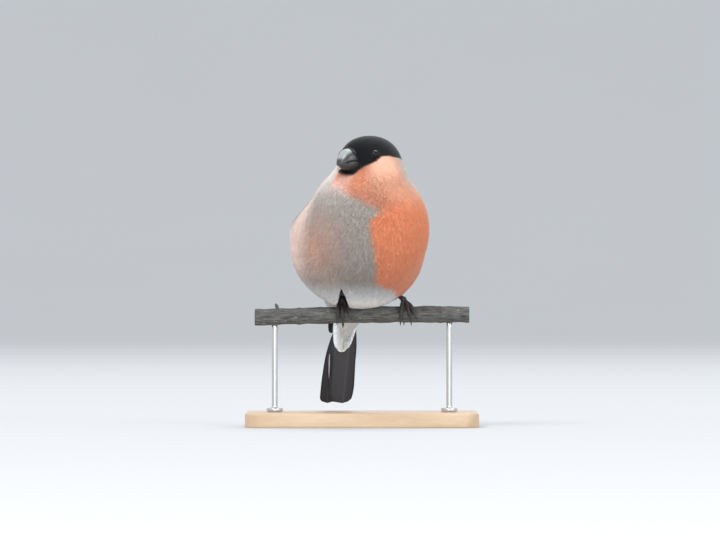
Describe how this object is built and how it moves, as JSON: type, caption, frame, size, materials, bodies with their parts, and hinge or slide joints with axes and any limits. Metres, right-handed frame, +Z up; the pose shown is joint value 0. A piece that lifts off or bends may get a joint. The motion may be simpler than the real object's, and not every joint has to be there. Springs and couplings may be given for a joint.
{
  "type": "bullfinch",
  "caption": "Life-size still bullfinch, feathers fluffed against the cold, gripping a short length of branch held by two rods over a flat wooden base.",
  "frame": {"origin": "middle of the underside of the stand's base", "axes": "+Z up; the viewer of the picture looks along +Y, with +X to the right; the bird faces -Y, turned 15 degrees towards +X"},
  "size_m": [0.128, 0.0863, 0.1599],
  "materials": {
    "black_cap": "black head feathers with a slight sheen",
    "breast": "soft body feathers, orange on the bird's left and buff grey on its right",
    "wing": "glossy black wing feathers with a pale grey bar",
    "flight_feather": "glossy black tail feathers, white coverts at their root",
    "bill": "dark grey horn, satin",
    "eye": "dark brown, wet gloss",
    "leg_skin": "scaled dark brown skin",
    "claw": "black horn, satin",
    "bark": "grey bark with pale pores",
    "base_wood": "oiled pale wood",
    "rod_steel": "brushed"
  },
  "bodies": {
    "root": {"bill_lower": "bill", "bill_upper": "bill", "claw_left_1": "claw", "claw_left_2": "claw", "claw_left_3": "claw", "claw_left_4": "claw", "claw_right_1": "claw", "claw_right_2": "claw", "claw_right_3": "claw", "claw_right_4": "claw", "eye_left": "eye", "eye_right": "eye", "foot_left": "leg_skin", "foot_right": "leg_skin", "head": "black_cap", "neck": "breast", "perch": "bark", "shank_left": "leg_skin", "shank_right": "leg_skin", "stand_base": "base_wood", "stand_rod_left": "rod_steel", "stand_rod_right": "rod_steel", "tail": "flight_feather", "torso": "breast", "wing_left": "wing", "wing_right": "wing"}
  },
  "joints": []
}
